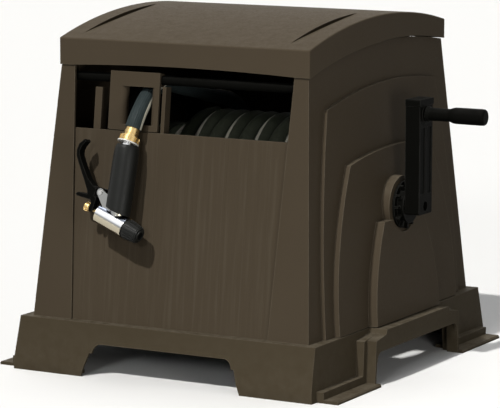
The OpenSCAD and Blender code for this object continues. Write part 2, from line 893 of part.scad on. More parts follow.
module crank_screw() {
    tail = drum_half + 20;
    color(CHROME) home() {
        x_rod(tail, arm_x + arm_t - screw_deep - tail, 3);
        x_rod(arm_x + arm_t - screw_deep, 4, 6.5, [0, axle_z], $fn = 6);
    }
}

module grip_pin() {
    color(CHROME) home() {
        x_rod(arm_x + 1, grip_end - 8 - arm_x, 5, [0, axle_z + crank_throw]);
        x_rod(arm_x, 2, 8, [0, axle_z + crank_throw]);
    }
}

// The grip: a sleeve with a waist that turns on its pin
module crank_grip() {
    neck = 44;
    color(BLACK) home() translate([grip_x, 0, axle_z + crank_throw]) rotate([0, 90, 0]) difference() {
        rotate_extrude() {
            polygon([
                [0, 1], [11.5, 1], [11.5, 4], [9.9, 6], [9.7, neck - 5], [11.6, neck],
                [12.3, neck + 4], [12.5, grip_len - 8], [12.2, grip_len - 3],
                [11, grip_len - 1], [8.5, grip_len], [0, grip_len]
            ]);
        }
        translate([0, 0, -1]) cylinder(h = grip_len - 5, r = 5 + run_gap);
    }
}

// One side of the front frame in plan: a flat plate whose edge by the slot is rolled in
module rolled_lip(edge, slot_edge) {
    toward = slot_edge > edge ? 1 : -1;
    mid = [slot_edge - toward * lip_r, wall + lip_r];
    polygon(concat(
        [[edge, wall]],
        [for (a = [0:15:90]) mid + lip_r * [toward * sin(a), -cos(a)]],
        [[slot_edge, wall + lip_r + 3], [slot_edge - toward * frame_t, wall + lip_r + 3]],
        [for (a = [90:-30:0]) mid + (lip_r - frame_t) * [toward * sin(a), -cos(a)]],
        [[edge, wall + frame_t]]
    ));
}

module guide_bar(x, y, z) {
    translate([x[0], y[0], z[0]]) cube([x[1] - x[0], y[1] - y[0], z[1] - z[0]]);
}

// The carriage: a front frame round the hose's slot, on a sled behind the sill, with two fins
module guide_carriage() {
    slot_half = slot_w / 2;
    lip = slot_half + 0.5;
    behind = [sled_y, sled_y + sled_t];
    color(RESIN * 1.1) home() difference() {
        union() {
            on_front() translate([guide_x, 0, 0]) {
                translate([0, 0, frame_z[0]]) linear_extrude(frame_z[1] - frame_z[0]) {
                    rolled_lip(frame_x[0], -slot_half);
                    rolled_lip(frame_x[1], slot_half);
                }
                guide_bar([frame_x[0] + 1, frame_x[1] - 1], [wall, wall + frame_t], [slot_z[1], frame_z[1]]);
                guide_bar([frame_x[0] + 1, frame_x[1] - 1], [wall, behind[1]], [sill_z + 4, slot_z[0]]);
                guide_bar([left_fin[0], right_fin[1] + 14], behind, [sled_z, sled_z + 26]);
                guide_bar([frame_x[0] + 1, frame_x[1] - 1], behind, [sled_z, slot_z[0] - 1]);
                guide_bar(left_fin, [sled_y, sled_y + fin_deep], [sled_z, fin_z[0]]);
                guide_bar(right_fin, [sled_y, sled_y + fin_deep], [sled_z, fin_z[1]]);
            }
            for (x = [[frame_x[0] + 2, -lip], [lip, frame_x[1] - 2]], rail = [upper_rail, lower_rail]) {
                x_rod(guide_x + x[0], x[1] - x[0], rail_r + 3, rail);
            }
        }
        x_rod(guide_x - 100, 200, rail_r + run_gap, upper_rail);
        x_rod(guide_x - 100, 200, rail_r + run_gap, lower_rail);
    }
}

module coupling_ferrule() {
    color(BRASS) home() on_coupling() {
        translate([0, 0, 11]) cylinder(h = coupling_len - 11, r = 10.5);
        translate([0, 0, 15]) cylinder(h = 3, r = 11.2);
    }
}

module coupling_nut() {
    color(BRASS) home() on_coupling() difference() {
        union() {
            translate([0, 0, 2]) cylinder(h = 9, r = 14.5);
            for (a = [0:30:330]) {
                rotate([0, 0, a]) translate([13.8, -1.5, 3]) cube([1.8, 3, 7]);
            }
        }
        translate([0, 0, 1]) cylinder(h = 8, r = 9);
    }
}

module coupling_washer() {
    color("white") home() on_coupling() difference() {
        cylinder(h = 2, r = 16.5);
        translate([0, 0, -1]) cylinder(h = 4, r = 9);
    }
}

// Room for the trigger's root between the ears, seen from above its pin
module root_room() {
    on_nozzle() both_ways(4.6) translate([pivot_x, pivot_z]) {
        circle(r = ear_r + 2);
        translate([-2 * ear_r, -ear_r - 2]) square([2 * ear_r, 2 * ear_r + 4]);
    }
}

module nozzle_body() {
    ear = [5, 8];
    color(CHROME) home() difference() {
        union() {
            on_coupling() {
                cylinder(h = 9, r = 8.9);
                translate([0, 0, -10]) cylinder(h = 11, r = 7.5);
            }
            on_nozzle() {
                translate([0, 0, -10]) sphere(r = neck_r - 0.5);
                translate([0, 0, barrel_z]) cylinder(h = -barrel_z - 10, r = neck_r);
                // the ears that carry the trigger
                for (side = [0, 1]) {
                    mirror([0, side, 0]) along_y(ear[0], ear[1] - ear[0]) {
                        translate([pivot_x, pivot_z]) circle(r = ear_r);
                        polygon([[pivot_x + 1, pivot_z + 5.5], [-9, pivot_z - 6], [-9, barrel_z + 6],
                            [-20, barrel_z + 14], [pivot_x - 5, pivot_z - 3]]);
                    }
                }
            }
            on_barrel() {
                translate([0, 0, -barrel_half])
                    cylinder(h = 2 * barrel_half, r1 = barrel_r - 0.8, r2 = barrel_r);
                translate([0, 0, -barrel_half - 4]) cylinder(h = 5, r = 8);
                translate([0, 0, barrel_half - 3]) cylinder(h = 3, r = barrel_r + 0.6);
            }
        }
        on_nozzle() translate([pivot_x, -20, pivot_z]) rotate([-90, 0, 0])
            cylinder(h = 40, r = 2, $fn = 24);
        on_barrel() translate([0, 0, -barrel_half - 5]) cylinder(h = 30, r = stem_r + run_gap);
        on_barrel() translate([0, 0, 8]) cylinder(h = 30, r = 9);
        root_room();
    }
}

module nozzle_grip() {
    color(BLACK) home() difference() {
        on_nozzle() translate([0, 0, -handle_len]) rotate_extrude() polygon([
            [neck_r, 0], [handle_r - 1, 0], [handle_r, 16], [handle_r, handle_len - 30],
            [handle_r - 0.4, handle_len - 14], [handle_r - 1.4, handle_len - 6],
            [handle_r - 3.5, handle_len - 1.5], [neck_r, handle_len - 1.5]
        ]);
        on_coupling() translate([0, 0, -0.2]) cylinder(h = 30, r = 30);
        on_barrel() translate([-barrel_r - 1, -30, -60]) cube([80, 60, 120]);
        // clear of the trigger and its ears
        on_nozzle() both_ways(9) translate([pivot_x - 10, pivot_z - 40]) square([-pivot_x + 2, 50]);
    }
}

module nozzle_tip() {
    bore = [9, 6];
    color(BLACK) home() on_barrel() difference() {
        translate([0, 0, barrel_half]) union() {
            cylinder(h = tip_len, r1 = barrel_r - 1, r2 = barrel_r - 4);
            for (a = [0:20:340]) {
                rotate([0, 0, a]) translate([barrel_r - 2, -1.3, 3]) rotate([0, -6.7, 0])
                    cube([1.9, 2.6, tip_len - 5]);
            }
            cylinder(h = tip_len + 2, r = 9);
        }
        translate([0, 0, barrel_half - 1]) cylinder(h = 14, r = bore[0]);
        translate([0, 0, barrel_half + 12]) cylinder(h = 20, r = bore[1]);
    }
}

// The trigger: a curved blade in front of the grip, a root that turns on the pin, a thumb rest,
// and a fork that draws the valve's stem out by its knob
module nozzle_trigger() {
    fork = [3.6, 7.4];
    color(BLACK) home() difference() {
        union() {
            on_nozzle() {
                both_ways(7.4) {
                    polygon([
                        [-54, -78], [-62, -63], [-73, -44], [-81, -29], [-82, -20], [-79, -11], [-71, -3],
                        [-68, -6], [-74, -14], [-76.5, -21], [-75.5, -28], [-67, -43], [-56, -60],
                        [-45, -70], [-38.5, -73.5], [-40, -82], [-44, -87], [-52, -86]
                    ]);
                    polygon([
                        [-44, -86], [-52, -83.5], [-69, -82.5], [-73, -85.5], [-70, -88.5], [-48, -91]
                    ]);
                }
                both_ways(4.2) {
                    translate([pivot_x, pivot_z]) circle(r = ear_r);
                    polygon([
                        [pivot_x, pivot_z + ear_r], [-45, -70], [-50, -80], [-44, -86],
                        [pivot_x, pivot_z - ear_r]
                    ]);
                }
            }
            on_barrel() for (side = [0, 1]) {
                mirror([0, side, 0]) along_y(fork[0], fork[1] - fork[0]) {
                    translate([0, 4 - knob_in]) circle(r = 3.5);
                    polygon([
                        [0, -knob_in + 0.5], [-9, -knob_in + 0.6], [-16, -knob_in - 5],
                        [-23, -knob_in - 3], [-19, -knob_in + 5.5], [-5, -knob_in + 7.2],
                        [0, -knob_in + 7.5]
                    ]);
                }
            }
        }
        on_nozzle() translate([pivot_x, -20, pivot_z]) rotate([-90, 0, 0])
            cylinder(h = 40, r = 2 + run_gap, $fn = 24);
    }
}

module trigger_pin() {
    color(CHROME) home() on_nozzle() translate([pivot_x, -9.5, pivot_z]) rotate([-90, 0, 0]) {
        cylinder(h = 19, r = 2, $fn = 24);
        cylinder(h = 1.4, r = 3.4, $fn = 24);
        translate([0, 0, 17.6]) cylinder(h = 1.4, r = 3.4, $fn = 24);
    }
}

module valve_stem() {
    color(BRASS) home() on_barrel() translate([0, 0, -knob_in - knob_len - 1]) cylinder(h = 44, r = stem_r);
}

// The knob on the stem sets the flow
module flow_knob() {
    color(BRASS) home() on_barrel() translate([0, 0, -knob_in - knob_len]) difference() {
        union() {
            cylinder(h = knob_len - 2, r = 6.4);
            translate([0, 0, knob_len - 2]) cylinder(h = 2, r1 = 6.4, r2 = 5);
            for (a = [0:30:330]) {
                rotate([0, 0, a]) translate([5.8, -0.8, 0.6]) cube([1.4, 1.6, knob_len - 3.2]);
            }
        }
        translate([0, 0, -1]) cylinder(h = knob_len + 3, r = stem_r + run_gap);
    }
}

base_frame();
right_side_panel();
left_side_panel();
front_panel();
back_panel();
panel_screws();
upper_guide_rail();
lower_guide_rail();
right_bushing();
left_bushing();
inlet_fitting();
inlet_o_ring();
inlet_cap();
cap_screws();
lid();
hinge_pins();
reel_drum();
left_reel_flange();
right_reel_flange();
flange_screws();
outlet_elbow();
hose_core();
hose_inner_layer();
hose_outer_layer();
crank_hub();
crank_arm();
crank_screw();
grip_pin();
crank_grip();
guide_carriage();
hose_lead();
coupling_ferrule();
coupling_nut();
coupling_washer();
nozzle_body();
nozzle_grip();
nozzle_tip();
nozzle_trigger();
trigger_pin();
valve_stem();
flow_knob();
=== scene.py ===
"""Hose reel cabinet: the looks of a resin cabinet with a crank-turned reel inside, its garden hose
and its spray nozzle. Every length is in metres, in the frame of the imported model."""
import json
import math

import bpy
from mathutils import Matrix, Vector


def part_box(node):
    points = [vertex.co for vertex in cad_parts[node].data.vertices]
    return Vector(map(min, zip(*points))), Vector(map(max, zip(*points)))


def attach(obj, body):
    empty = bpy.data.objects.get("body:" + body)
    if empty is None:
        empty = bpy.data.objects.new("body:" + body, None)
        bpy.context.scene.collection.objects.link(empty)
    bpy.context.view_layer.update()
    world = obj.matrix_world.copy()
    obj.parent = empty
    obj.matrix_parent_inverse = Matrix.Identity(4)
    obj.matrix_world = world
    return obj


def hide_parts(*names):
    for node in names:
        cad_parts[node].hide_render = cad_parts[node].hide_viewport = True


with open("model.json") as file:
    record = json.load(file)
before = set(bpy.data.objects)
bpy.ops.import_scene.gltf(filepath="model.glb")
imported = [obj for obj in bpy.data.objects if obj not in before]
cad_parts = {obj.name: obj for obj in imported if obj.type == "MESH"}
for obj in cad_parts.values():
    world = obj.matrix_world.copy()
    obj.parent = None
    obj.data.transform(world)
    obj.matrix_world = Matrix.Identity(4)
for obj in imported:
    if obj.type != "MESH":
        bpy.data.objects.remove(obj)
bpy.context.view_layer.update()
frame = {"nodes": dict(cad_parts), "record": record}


# Places and sizes

BASE_LOW, BASE_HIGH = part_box("base_frame")
LID_LOW, LID_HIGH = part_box("lid")
DRUM_LOW, DRUM_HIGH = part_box("reel_drum")
MIDDLE_X = (BASE_LOW.x + BASE_HIGH.x) / 2.0     # the cabinet's middle, left of the origin
SLOT_X = MIDDLE_X - 0.077                       # the middle of the guide's slot at rest
AXLE_HEIGHT = (DRUM_LOW.z + DRUM_HIGH.z) / 2.0
BODY_OF = {node: body for body, nodes in frame["record"]["behaviour"]["bodies"].items() for node in nodes}

SAME_PLACE = 0.00002       # points nearer to each other than this are one point
FLAT_WITHIN = math.radians(0.15)
PANEL_EDGE = 0.0016
SMALL_EDGE = 0.0008
FINE_EDGE_STEPS = 2

# The crown of the lid is part of a cylinder that lies along x.
LID_HALF_WIDTH = (LID_HIGH.x - LID_LOW.x) / 2.0
LID_HALF_DEPTH = -LID_LOW.y                     # the hinge lugs stand out behind, so the front gives it
CROWN_RADIUS = 0.910
CROWN_MIDDLE_Y = 0.025
CROWN_MIDDLE_Z = -0.372
RIM_ROUNDING = 0.006
RIM_STEPS = 4
ON_CROWN = 0.0004          # a point of the crown is no further below its true curve than this
ON_SIDE = 0.0002           # a point of a side is no further from its plane than this
UPRIGHT_EDGE = 0.02        # an edge that rises by more than this stands upright

FRONT_LEAN = 0.119         # the front leans back by this much for each unit of height
BOARD_WIDTH = 0.0385
MIDDLE_GROOVE_X = MIDDLE_X + 0.0013
GROOVES_EACH_SIDE = 4
GROOVE_HALF_WIDTH = 0.0011
GROOVE_DEPTH = 0.00035
GROOVE_MARGIN = 0.03       # no groove is nearer to the panel's sides than this
OUTER_FACE_SLACK = 0.0006  # the outer face lies no further back than this behind its foremost point

HOSE_RADIUS = 0.0125
TURN_PITCH = 0.026
END_TURN_X = 0.1505        # from the cabinet's middle to the turns beside the flanges
INNER_LAYER_RADIUS = 0.0901
OUTER_LAYER_RADIUS = INNER_LAYER_RADIUS + 2.0 * HOSE_RADIUS
STRIPE_LOOP = 0.8          # the length of straight hose that counts as one loop for its stripe

# The way of the hose's end, from the reel over the guide to the nozzle: millimetres from the middle of
# the guide's slot, the cabinet's middle and the floor.
HOSE_END_WAY = [
    (0, 126, 325), (0, 111, 346), (0, 94, 364), (0, 73, 378), (0, 50, 389), (0, 31, 394),
    (0, -10, 403), (1, -50, 412), (3, -90, 420), (5, -125, 428), (5.5, -137, 431),
    (6.5, -158, 433), (7.3, -179, 431), (8, -199, 425), (8.4, -217, 414), (8.3, -232, 400),
    (7.6, -243, 386), (6, -249, 374),
]


# Camera

PHOTO_WIDTH = 500.0        # pixels
FOCAL_LENGTH = 2800.0      # pixels, of the camera that was fitted to the cabinet's edges
SENSOR_WIDTH = 36.0        # millimetres
AZIMUTH = math.radians(29.1)
ELEVATION = math.radians(8.6)
ROLL = math.radians(0.1)
CAMERA_DISTANCE = 4.3696
CAMERA_AIM = Vector((MIDDLE_X - 0.0106, 0.0, 0.2325))


def stand_camera():
    back = Vector((math.sin(AZIMUTH) * math.cos(ELEVATION), -math.cos(AZIMUTH) * math.cos(ELEVATION),
                   math.sin(ELEVATION)))
    data = bpy.data.cameras.new("camera")
    data.sensor_width = SENSOR_WIDTH
    data.lens = SENSOR_WIDTH * FOCAL_LENGTH / PHOTO_WIDTH
    data.clip_end = 50.0
    camera = bpy.data.objects.new("camera", data)
    bpy.context.scene.collection.objects.link(camera)
    turn = back.to_track_quat("Z", "Y").to_matrix().to_4x4() @ Matrix.Rotation(ROLL, 4, "Z")
    camera.matrix_world = Matrix.Translation(CAMERA_AIM + CAMERA_DISTANCE * back) @ turn
    bpy.context.scene.camera = camera


# Selecting and shaping pieces


def deselect():
    if bpy.context.mode != "OBJECT":
        bpy.ops.object.mode_set(mode="OBJECT")
    bpy.ops.object.select_all(action="DESELECT")


def work_on(piece):
    deselect()
    piece.select_set(True)
    bpy.context.view_layer.objects.active = piece


def apply_modifier(piece, kind, **settings):
    work_on(piece)
    modifier = piece.modifiers.new(kind.lower(), kind)
    for key, value in settings.items():
        setattr(modifier, key, value)
    bpy.ops.object.modifier_apply(modifier=modifier.name)


def pick(piece, kind, test):
    """Goes into edit mode with the points, edges or faces selected whose points' places pass the test."""
    bpy.ops.object.mode_set(mode="EDIT")
    bpy.ops.mesh.select_mode(type=kind)
    bpy.ops.mesh.select_all(action="DESELECT")
    bpy.ops.object.mode_set(mode="OBJECT")
    mesh = piece.data
    places = [vertex.co for vertex in mesh.vertices]
    if kind == "EDGE":
        for edge in mesh.edges:
            edge.select = bool(test([places[i] for i in edge.vertices]))
    elif kind == "FACE":
        for face in mesh.polygons:
            face.select = bool(test([places[i] for i in face.vertices]))
    else:
        for vertex in mesh.vertices:
            vertex.select = bool(test([vertex.co]))
    bpy.ops.object.mode_set(mode="EDIT")


def finish_piece(piece, finish, node, smooth):
    """Gives a piece its shading and finish, and makes it stand for its solid on the solid's body."""
    work_on(piece)
    bpy.ops.object.transform_apply(location=True, rotation=True, scale=True)
    bpy.ops.object.shade_smooth_by_angle(angle=math.radians(smooth))
    piece.data.materials.clear()
    piece.data.materials.append(finish.material)
    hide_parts(node)
    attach(piece, BODY_OF[node])


def merged_copy(node, name):
    """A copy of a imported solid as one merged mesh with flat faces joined, ready for its edges' rounding."""
    deselect()
    piece = bpy.data.objects.new(name, frame["nodes"][node].data.copy())
    bpy.context.scene.collection.objects.link(piece)
    work_on(piece)
    bpy.ops.object.mode_set(mode="EDIT")
    bpy.ops.mesh.select_all(action="SELECT")
    bpy.ops.mesh.remove_doubles(threshold=SAME_PLACE)
    bpy.ops.mesh.dissolve_limited(angle_limit=FLAT_WITHIN)
    bpy.ops.mesh.select_all(action="DESELECT")
    bpy.ops.object.mode_set(mode="OBJECT")
    if piece.data.has_custom_normals:
        bpy.ops.mesh.customdata_custom_splitnormals_clear()
    return piece


def round_and_finish(piece, node, finish, edge, sharper_than=28.0, smooth=35.0):
    """Rounds a piece's edges that turn by more than so many degrees, finishes it and evens its shading."""
    if edge:
        apply_modifier(piece, "BEVEL", width=edge, segments=FINE_EDGE_STEPS, limit_method="ANGLE",
                       angle_limit=math.radians(sharper_than), harden_normals=False)
    finish_piece(piece, finish, node, smooth)
    apply_modifier(piece, "WEIGHTED_NORMAL", mode="FACE_AREA", weight=90, keep_sharp=True)


def moulded(node, name, finish, edge=0.0, smooth=35.0):
    """A moulded or machined piece: a merged copy of its solid, with its edges rounded where edge says."""
    round_and_finish(merged_copy(node, name), node, finish, edge, smooth=smooth)


# Adding and joining shader nodes


def set_inputs(node, inputs):
    for label, value in inputs.items():
        node.inputs[label.replace("_", " ")].default_value = value


class Nodes:
    """Short ways to add nodes to a tree and to join them; a value may be a socket or a plain number."""

    def __init__(self, tree):
        self.tree = tree

    def add(self, kind, **inputs):
        node = self.tree.nodes.new(kind)
        set_inputs(node, inputs)
        return node

    def join(self, source, target):
        self.tree.links.new(source, target)

    def give(self, value, target):
        if isinstance(value, float):
            target.default_value = value
        else:
            self.join(value, target)

    def calculate(self, operation, *values):
        node = self.add("ShaderNodeMath")
        node.operation = operation
        for value, target in zip(values, node.inputs):
            self.give(value, target)
        return node.outputs[0]

    def spread(self, value, low, high, to_low=0.0, to_high=1.0):
        """The value with the stretch from low to high laid over to_low to to_high, and held at its ends."""
        node = self.add("ShaderNodeMapRange", From_Min=low, To_Min=to_low, To_Max=to_high)
        self.give(high, node.inputs["From Max"])
        self.join(value, node.inputs["Value"])
        return node.outputs[0]

    def place(self):
        return self.add("ShaderNodeTexCoord").outputs["Object"]

    def noise(self, place, scale, detail, roughness=0.5):
        node = self.add("ShaderNodeTexNoise", Detail=detail, Roughness=roughness)
        self.give(scale, node.inputs["Scale"])
        self.join(place, node.inputs["Vector"])
        return node.outputs[0]

    def facing(self):
        return self.add("ShaderNodeNewGeometry").outputs["Normal"]

    def split(self, vector):
        node = self.add("ShaderNodeSeparateXYZ")
        self.join(vector, node.inputs[0])
        return node.outputs


class Finish(Nodes):
    """A material with a Principled shader, and short ways to build up its colour and relief."""

    def __init__(self, name, color, roughness=0.5, **sockets):
        self.material = bpy.data.materials.new(name)
        self.material.use_nodes = True
        self.material.diffuse_color = (*color, 1.0)
        super().__init__(self.material.node_tree)
        self.shader = self.tree.nodes["Principled BSDF"]
        self.shader.inputs["Base Color"].default_value = (*color, 1.0)
        self.shader.inputs["Roughness"].default_value = roughness
        set_inputs(self.shader, sockets)

    def color(self, source):
        self.join(source, self.shader.inputs["Base Color"])

    def roughness(self, source):
        self.join(source, self.shader.inputs["Roughness"])

    def normal(self, source):
        self.join(source, self.shader.inputs["Normal"])

    def group(self, tree, **inputs):
        node = self.add("ShaderNodeGroup")
        node.node_tree = tree
        set_inputs(node, inputs)
        return node.outputs

    def blend(self, mask, dark, pale):
        """A colour between dark and pale, by mask; either may be a colour or a socket."""
        mix = self.add("ShaderNodeMix")
        mix.data_type = "RGBA"
        self.join(mask, mix.inputs["Factor"])
        for socket, value in ((mix.inputs[6], dark), (mix.inputs[7], pale)):
            if isinstance(value, tuple):
                socket.default_value = (*value, 1.0)
            else:
                self.join(value, socket)
        return mix.outputs[2]

    def bump(self, height, depth, normal=None):
        node = self.add("ShaderNodeBump", Distance=depth, Strength=1.0)
        self.join(height, node.inputs["Height"])
        if normal is not None:
            self.join(normal, node.inputs["Normal"])
        return node.outputs["Normal"]


# Effects that more than one finish uses


def new_effect(name, inputs, outputs):
    """An empty node group, with the sockets of its two ends."""
    tree = bpy.data.node_groups.new(name, "ShaderNodeTree")
    for label, value in inputs.items():
        socket = tree.interface.new_socket(label, in_out="INPUT", socket_type="NodeSocketFloat")
        socket.default_value = value
    for label in outputs:
        tree.interface.new_socket(label, in_out="OUTPUT", socket_type="NodeSocketFloat")
    effect = Nodes(tree)
    return effect, effect.add("NodeGroupInput").outputs, effect.add("NodeGroupOutput").inputs


def mould_grain():
    """Fine pebbled grain of a moulded surface, with slow mottling and a fine speckle of gloss."""
    effect, given, out = new_effect(
        "mould_grain", {"Grain Scale": 900.0, "Mottle Scale": 9.0}, ("Height", "Mottle", "Speckle"))
    place = effect.place()
    effect.join(effect.noise(place, given["Grain Scale"], detail=2.0), out["Height"])
    effect.join(effect.noise(place, given["Mottle Scale"], detail=4.0, roughness=0.6), out["Mottle"])
    effect.join(effect.noise(place, 260.0, detail=3.0), out["Speckle"])
    return effect.tree


def board_grain():
    """Upright wood-like grain pressed into a moulded board: how high it lies, and how pale it is."""
    effect, given, out = new_effect(
        "board_grain", {"Streaks": 150.0, "Length": 5.0}, ("Height", "Tone"))
    place = effect.split(effect.place())
    stretched = effect.add("ShaderNodeCombineXYZ")
    for axis, rate in (("X", "Streaks"), ("Y", "Length"), ("Z", "Length")):
        effect.join(effect.calculate("MULTIPLY", place[axis], given[rate]), stretched.inputs[axis])
    streaks = effect.noise(stretched.outputs[0], 1.0, detail=3.0)
    effect.join(effect.spread(streaks, low=0.34, high=0.44), out["Height"])
    effect.join(streaks, out["Tone"])
    return effect.tree


def settled_dust_and_highlight():
    """Where dust settles: faces that look up and what is near the floor, in patches; where a finish turns it
    up, the paler ledges are partly a painted highlight.
    """
    effect, given, out = new_effect("settled_dust_and_highlight", {"Amount": 0.3, "Splash Height": 0.12}, ("Dust",))
    place = effect.place()
    looks_up = effect.spread(effect.split(effect.facing())["Z"], low=0.35, high=1.0)
    near_floor = effect.spread(effect.split(place)["Z"], low=0.0, high=given["Splash Height"],
                               to_low=0.25, to_high=0.0)
    patches = effect.spread(effect.noise(place, 75.0, detail=6.0), low=0.28, high=0.66)
    dust = effect.calculate("MULTIPLY", effect.calculate("MAXIMUM", looks_up, near_floor), patches)
    effect.join(effect.calculate("MULTIPLY", dust, given["Amount"]), out["Dust"])
    return effect.tree


def worn_and_highlit_edge():
    """Edges and corners rubbed paler, from how far the rounded normal turns from the face's own; where a
    finish turns it up, partly a painted highlight on the edges.
    """
    effect, given, out = new_effect("worn_and_highlit_edge", {"Radius": 0.002, "Amount": 0.5}, ("Wear",))
    soft = effect.add("ShaderNodeBevel")
    soft.samples = 4
    effect.join(given["Radius"], soft.inputs["Radius"])
    likeness = effect.add("ShaderNodeVectorMath")
    likeness.operation = "DOT_PRODUCT"
    effect.join(soft.outputs[0], likeness.inputs[0])
    effect.join(effect.facing(), likeness.inputs[1])
    turned = effect.spread(likeness.outputs["Value"], low=0.995, high=0.90)
    wear = effect.calculate("MULTIPLY", turned, effect.noise(effect.place(), 60.0, detail=4.0))
    effect.join(effect.calculate("MULTIPLY", wear, given["Amount"]), out["Wear"])
    return effect.tree


GRAIN = mould_grain()
BOARD_GRAIN = board_grain()
DUST = settled_dust_and_highlight()
WEAR_AND_EDGE_HIGHLIGHT = worn_and_highlit_edge()


# Kinds of finish


def moulded_finish(name, dark, pale, rubbed, roughness, grain_scale, grain_depth, dust, wear, gloss,
                   rub_width=0.0018, board=False):
    """Moulded plastic: mottled colour, pebbled grain, rubbed edges and settled dust; on some finishes the
    paler edges and ledges are partly a painted highlight.
    """
    finish = Finish(name, dark, roughness, Specular_IOR_Level=gloss)
    grain = finish.group(GRAIN, Grain_Scale=grain_scale, Mottle_Scale=7.0)
    color = finish.blend(grain["Mottle"], dark, pale)
    worn = finish.group(WEAR_AND_EDGE_HIGHLIGHT, Radius=rub_width, Amount=wear)["Wear"]
    color = finish.blend(worn, color, rubbed)
    settled = finish.group(DUST, Amount=dust, Splash_Height=0.10)["Dust"]
    color = finish.blend(settled, color, rubbed)
    normal = finish.bump(grain["Height"], grain_depth)
    if board:
        streaks = finish.group(BOARD_GRAIN, Streaks=170.0, Length=7.0)
        normal = finish.bump(streaks["Height"], depth=0.00025, normal=normal)
        pale_streaks = finish.spread(streaks["Tone"], low=0.50, high=0.72, to_high=0.12)
        color = finish.blend(pale_streaks, color, rubbed)
    finish.color(color)
    finish.roughness(finish.spread(grain["Speckle"], low=0.3, high=0.7,
                                   to_low=roughness - 0.06, to_high=roughness + 0.08))
    finish.normal(normal)
    return finish


def resin_finish(name, dark, pale, rubbed, dust=0.30, wear=0.45, rub_width=0.0018, board=False):
    """The cabinet's brown resin, almost without gloss."""
    return moulded_finish(name, dark, pale, rubbed, roughness=0.55, grain_scale=1100.0, grain_depth=0.00010,
                          dust=dust, wear=wear, gloss=0.02, rub_width=rub_width, board=board)


def metal_finish(name, color, roughness, scratch_scale, tarnish=None):
    """Plated or machined metal: fine scratches in its roughness and relief, and patches of tarnish."""
    finish = Finish(name, color, roughness, Metallic=1.0)
    place = finish.place()
    stretched = finish.add("ShaderNodeMapping", Scale=(1.0, 1.0, 6.0))
    finish.join(place, stretched.inputs["Vector"])
    scratches = finish.noise(stretched.outputs[0], scratch_scale, detail=4.0)
    finish.roughness(finish.spread(scratches, low=0.35, high=0.7,
                                   to_low=roughness * 0.7, to_high=roughness * 1.6))
    finish.normal(finish.bump(scratches, depth=0.00003))
    if tarnish:
        finish.color(finish.blend(finish.noise(place, 90.0, detail=5.0), color, tarnish))
    return finish


def chrome_with_painted_reflections(name):
    """Plated metal with painted reflections: bright where it looks up and outwards, smoky on its crown and
    warm below, painted into its colour by which way the surface faces.
    """
    # Painted reflection: colours for how far the surface faces up, from straight down (0) to straight up (1).
    painted_reflection_bands = [
        (0.0, (0.16, 0.14, 0.11)), (0.30, (0.46, 0.41, 0.31)), (0.52, (0.55, 0.50, 0.38)),
        (0.60, (0.27, 0.28, 0.29)), (0.66, (0.88, 0.89, 0.91)), (0.78, (0.92, 0.92, 0.93)),
        (0.86, (0.20, 0.22, 0.27)), (1.0, (0.10, 0.11, 0.13)),
    ]
    finish = metal_finish(name, (0.7, 0.7, 0.7), roughness=0.14, scratch_scale=260.0)
    upwards = finish.spread(finish.split(finish.facing())["Z"], low=-1.0, high=1.0)
    band = finish.add("ShaderNodeValToRGB")
    ramp = band.color_ramp
    for place, color in painted_reflection_bands[1:-1]:
        ramp.elements.new(place)
    for element, (place, color) in zip(ramp.elements, painted_reflection_bands):
        element.position = place
        element.color = (*color, 1.0)
    finish.join(upwards, band.inputs[0])
    finish.color(band.outputs[0])
    return finish


def hose_finish(name, dark, pale):
    """Vinyl hose: a pale stripe that twists half a turn a loop, over fine lengthwise ribs."""
    stripe_color = (0.62, 0.60, 0.50)
    stripe_place, stripe_half_width, stripe_blur = 0.5, 0.036, 0.004     # shares of the way round
    turns_a_loop = 0.5
    ribs_round = 24.0
    finish = Finish(name, dark, roughness=0.38, Specular_IOR_Level=0.05)
    place = finish.split(finish.add("ShaderNodeUVMap").outputs[0])
    along, around = place["X"], place["Y"]
    twisted = finish.calculate("FRACT", finish.calculate("MULTIPLY_ADD", along, turns_a_loop, around))
    from_stripe = finish.calculate("ABSOLUTE", finish.calculate("SUBTRACT", twisted, stripe_place))
    stripe = finish.spread(from_stripe, low=stripe_half_width + stripe_blur,
                           high=stripe_half_width - stripe_blur)
    scuffs = finish.noise(finish.place(), 120.0, detail=5.0)
    finish.color(finish.blend(stripe, finish.blend(scuffs, dark, pale), stripe_color))
    ribs = finish.calculate("SINE", finish.calculate("MULTIPLY", around, 2.0 * math.pi * ribs_round))
    finish.normal(finish.bump(ribs, depth=0.00012))
    finish.roughness(finish.spread(scuffs, low=0.0, high=1.0, to_low=0.30, to_high=0.55))
    return finish


# This cabinet's finishes

RESIN_DARK = (0.053, 0.041, 0.0272)
RESIN_PALE = (0.061, 0.048, 0.033)
RESIN_DUST = (0.13, 0.113, 0.086)

RESIN = resin_finish("cabinet_resin", RESIN_DARK, RESIN_PALE, RESIN_DUST)
BOARDS = resin_finish("cabinet_boards", RESIN_DARK, RESIN_PALE, RESIN_DUST, board=True)
# The side panels' edges are painted paler over a wider band than elsewhere: partly rubbed wear, partly a
# painted highlight where light catches the steps' edges.
SIDE_RESIN_EDGE_HIGHLIGHT = resin_finish("side_resin", RESIN_DARK, RESIN_PALE, rubbed=(0.17, 0.148, 0.112),
                          wear=0.62, rub_width=0.0022)
# The lid's resin is the cabinet's resin painted paler: painted light, for the stronger light that falls on
# the lid.
LID_RESIN_PAINTED_PALER = resin_finish("lid_resin", dark=(0.060, 0.0465, 0.031), pale=(0.068, 0.0535, 0.037),
                         rubbed=RESIN_DUST, dust=0.22)
